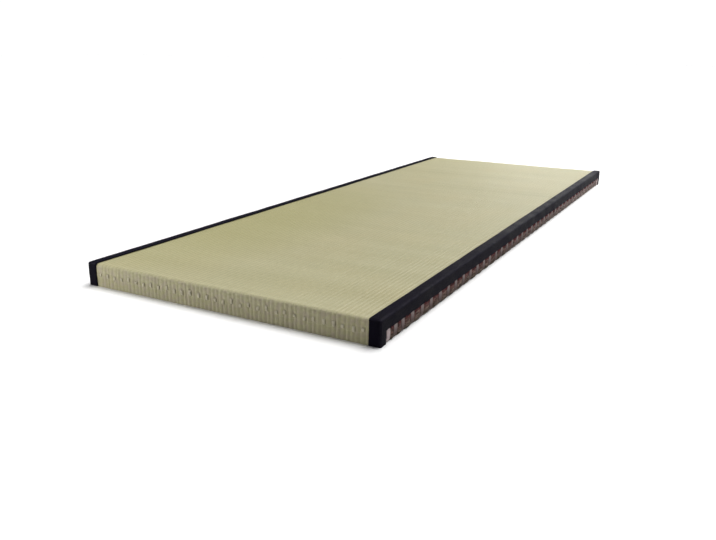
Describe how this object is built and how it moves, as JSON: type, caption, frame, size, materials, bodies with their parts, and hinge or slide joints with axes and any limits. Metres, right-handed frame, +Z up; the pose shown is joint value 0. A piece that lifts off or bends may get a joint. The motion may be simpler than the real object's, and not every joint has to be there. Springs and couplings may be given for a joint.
{
  "type": "tatami mat",
  "caption": "Flat tatami floor and bed-base mat: a pressed straw board under a woven rush cover, with dark cloth binding along both long edges.",
  "frame": {"origin": "middle of the mat's flat underside", "axes": "+X across the width, +Y along the length, +Z up out of the rush face"},
  "size_m": [0.762, 2.032, 0.056],
  "materials": {
    "straw": "matt pressed rice straw, stitched, cut ends showing on the long sides",
    "rush": "matt to low-sheen woven rush, ribs along the length",
    "binding": "near-black plain-woven cotton cloth with a faint blue sheen"
  },
  "bodies": {
    "root": {"straw_board": "straw", "rush_cover": "rush", "binding_left": "binding", "binding_right": "binding"}
  },
  "joints": []
}
